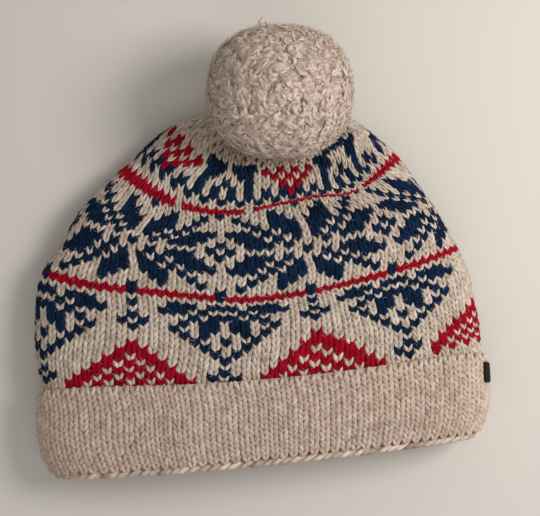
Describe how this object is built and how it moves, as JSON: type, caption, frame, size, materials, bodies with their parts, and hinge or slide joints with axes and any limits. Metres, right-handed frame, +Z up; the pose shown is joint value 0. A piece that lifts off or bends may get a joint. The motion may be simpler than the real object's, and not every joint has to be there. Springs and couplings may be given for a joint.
{
  "type": "fair isle beanie",
  "caption": "Knitted fair isle beanie lying on its back: hollow patterned crown, turned-up plain cuff and a round wool pompom.",
  "frame": {"origin": "on the surface that the hat lies on, below the middle of its box", "axes": "+Z up out of the front of the hat, +Y from the mouth to the closed top, +X to the right seen from above"},
  "size_m": [0.2318, 0.226, 0.0754],
  "materials": {
    "patterned_wool": "stranded wool knitting in cream, navy and red, matte",
    "cream_wool": "plain cream wool knitting, matte",
    "pompom_wool": "cut cream wool yarn, fluffy and matte",
    "black_tape": "plain black woven tape, matte"
  },
  "bodies": {
    "root": {"crown": "patterned_wool", "cuff": "cream_wool", "edge_ridge": "cream_wool", "pompom": "pompom_wool", "side_tab": "black_tape"}
  },
  "joints": []
}
